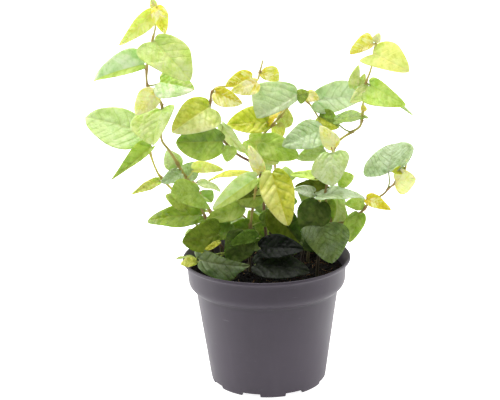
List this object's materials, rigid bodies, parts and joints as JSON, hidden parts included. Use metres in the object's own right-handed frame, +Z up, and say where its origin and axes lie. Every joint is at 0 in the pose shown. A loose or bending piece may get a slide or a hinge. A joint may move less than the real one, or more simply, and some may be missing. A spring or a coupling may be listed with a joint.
{
  "type": "potted creeping fig",
  "caption": "Young creeping fig with variegated heart-shaped leaves on thin branching stems, growing in peat soil in a grey-mauve plastic nursery pot.",
  "frame": {"origin": "middle of the pot's underside, on the plane the pot stands on", "axes": "+Z up along the pot's axis, -Y towards the front seen in the picture, +X to the right seen from the front"},
  "size_m": [0.231, 0.13, 0.2818],
  "materials": {
    "pot_plastic": "satin",
    "soil": "matte",
    "leaf": "satin"
  },
  "bodies": {
    "root": {"pot": "pot_plastic", "soil": "soil", "vine_left_tall": "leaf", "vine_left_shoot": "leaf", "vine_centre_left": "leaf", "vine_centre": "leaf", "vine_right_tall": "leaf", "vine_right_low": "leaf", "vine_front_left": "leaf", "vine_lower_left": "leaf", "vine_centre_low": "leaf", "vine_front": "leaf", "vine_front_right": "leaf", "vine_back_left": "leaf", "vine_back_centre": "leaf", "vine_back_right": "leaf", "vine_back_low": "leaf", "vine_back_edge": "leaf"}
  },
  "joints": []
}
